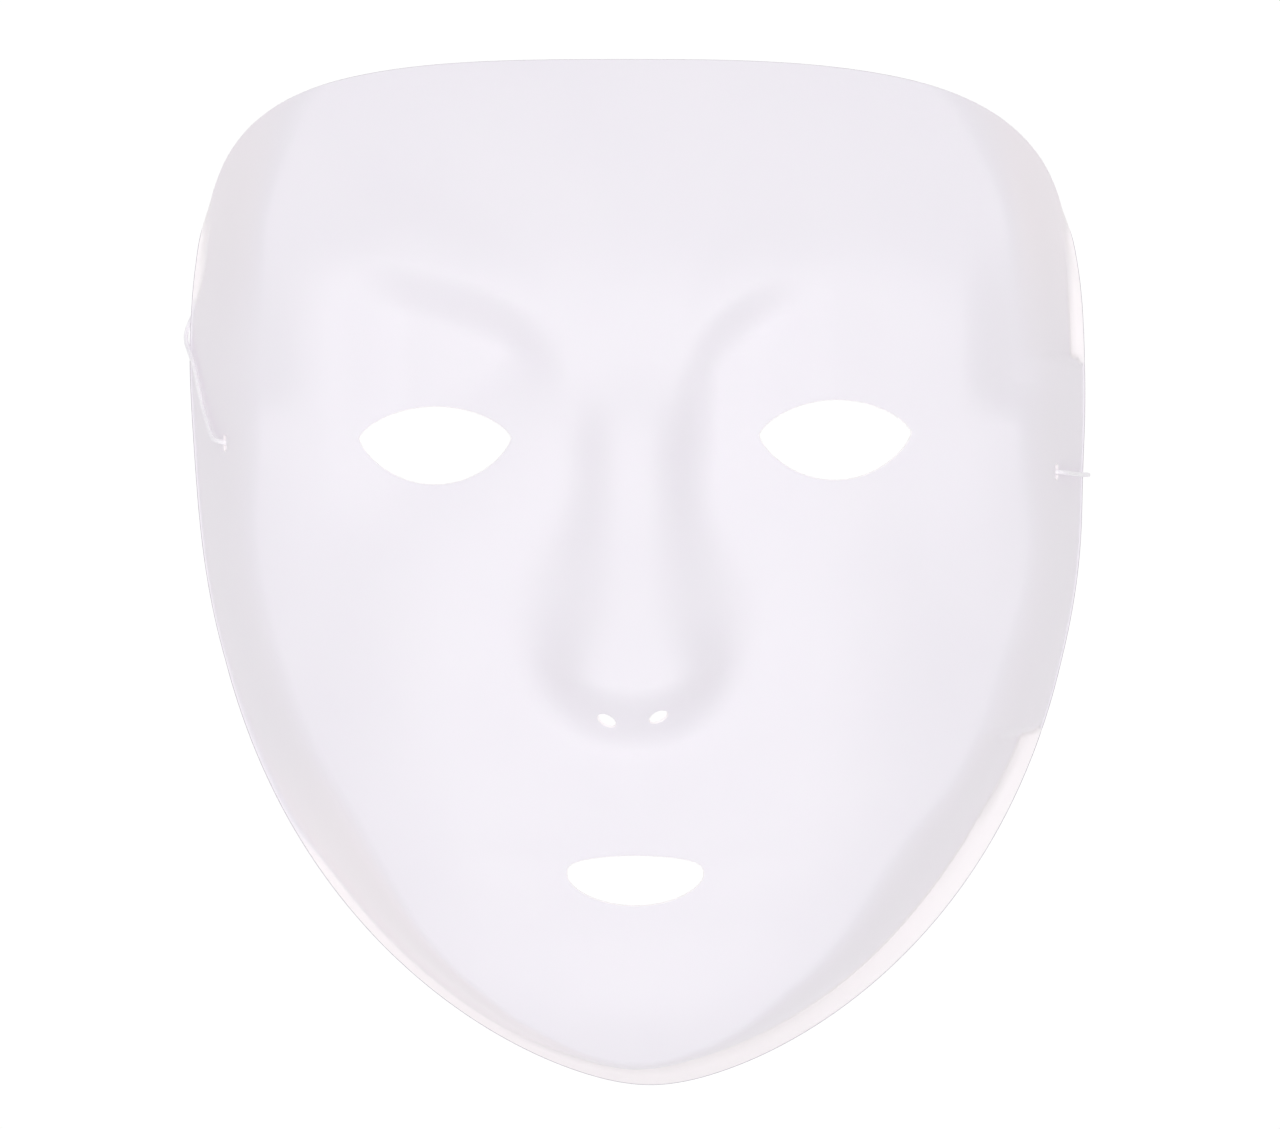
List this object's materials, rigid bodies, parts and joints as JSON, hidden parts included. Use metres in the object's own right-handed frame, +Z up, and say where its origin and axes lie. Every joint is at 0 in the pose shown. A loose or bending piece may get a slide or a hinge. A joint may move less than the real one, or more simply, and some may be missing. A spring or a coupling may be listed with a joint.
{
  "type": "plastic face mask",
  "caption": "Blank white full-face mask formed from thin plastic sheet, with open eyes, nostrils and mouth, a narrow turned-out lip and a thin elastic cord; it lies face up.",
  "frame": {"origin": "on the surface that the mask lies on, under the middle of its outline, with the cord left out", "axes": "+Z up out of the face, +Y from the chin to the forehead, +X to the right as the face is looked at"},
  "size_m": [0.1764, 0.1968, 0.058],
  "materials": {
    "sheet": "satin white formed sheet",
    "elastic": "woven white elastic",
    "bar": "moulded white plastic"
  },
  "bodies": {
    "root": {"mask_shell": "sheet", "elastic_cord": "elastic", "end_bar_left": "bar", "end_bar_right": "bar"}
  },
  "joints": []
}
